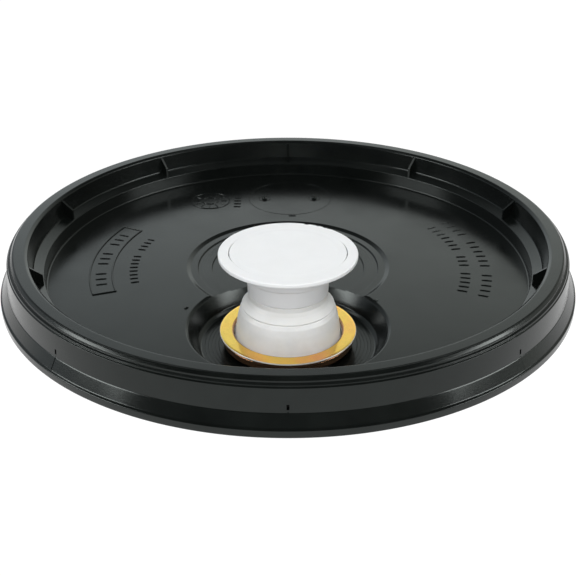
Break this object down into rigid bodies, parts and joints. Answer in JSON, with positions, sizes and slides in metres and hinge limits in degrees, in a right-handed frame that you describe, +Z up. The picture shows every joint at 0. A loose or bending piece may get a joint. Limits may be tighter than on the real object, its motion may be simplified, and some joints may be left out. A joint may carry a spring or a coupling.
{
  "type": "pail cover with pull-up pouring spout",
  "caption": "Round black press-fit pail cover with a gasketed rim channel and a recessed white pull-up pouring spout: crimped steel ring, inverting bell, screw cap and folding bails.",
  "frame": {"origin": "centre of the flat ring on the underside of the rim gasket, where the pail's lip bears, on the cover's axis", "axes": "+Z up, out of the cover's top face; -Y from the cover's axis towards the pouring spout; +X to the right, with the spout towards the viewer"},
  "size_m": [0.31, 0.31, 0.0528],
  "materials": {
    "cover_plastic": "glossy black moulded polyethylene",
    "gasket_rubber": "matt grey sealing ring",
    "ring_steel": "yellow zinc plated pressed steel, slightly iridescent",
    "spout_plastic": "soft white translucent moulding, satin",
    "cap_plastic": "white moulding, satin"
  },
  "bodies": {
    "cover": {"pail_cover": "cover_plastic", "rim_gasket": "gasket_rubber", "retaining_ring": "ring_steel", "spout_flange": "spout_plastic", "spout_bell": "spout_plastic"},
    "neck": {"spout_neck": "spout_plastic", "tear_seal": "spout_plastic", "pull_ring": "spout_plastic"},
    "liner": {"cap_liner": "cap_plastic"},
    "cap": {"screw_cap": "cap_plastic"},
    "bail_left": {"bail_left": "cap_plastic"},
    "bail_right": {"bail_right": "cap_plastic"}
  },
  "joints": [
    {"name": "spout_pull", "type": "slide", "parent": "cover", "child": "neck", "axis": [0, 0, 1], "range_m": [-0.0395, 0], "deforming": ["spout_bell"]},
    {"name": "cap_lift", "type": "slide", "parent": "neck", "child": "liner", "axis": [0, 0, 1], "range_m": [0, 0.00601]},
    {"name": "cap_turn", "type": "hinge", "parent": "liner", "child": "cap", "pos_m": [0, -0.067, 0.0238], "axis": [0, 0, 1], "range_deg": [0, 540]},
    {"name": "bail_left_fold", "type": "hinge", "parent": "cap", "child": "bail_left", "pos_m": [-0.002, -0.067, 0.0238], "axis": [0, 1, 0], "range_deg": [0, 90]},
    {"name": "bail_right_fold", "type": "hinge", "parent": "cap", "child": "bail_right", "pos_m": [0.002, -0.067, 0.0238], "axis": [0, -1, 0], "range_deg": [0, 90]}
  ],
  "couplings": [
    {"joint": "cap_lift", "follows": "cap_turn", "m_per_rad": 0.00063662}
  ]
}
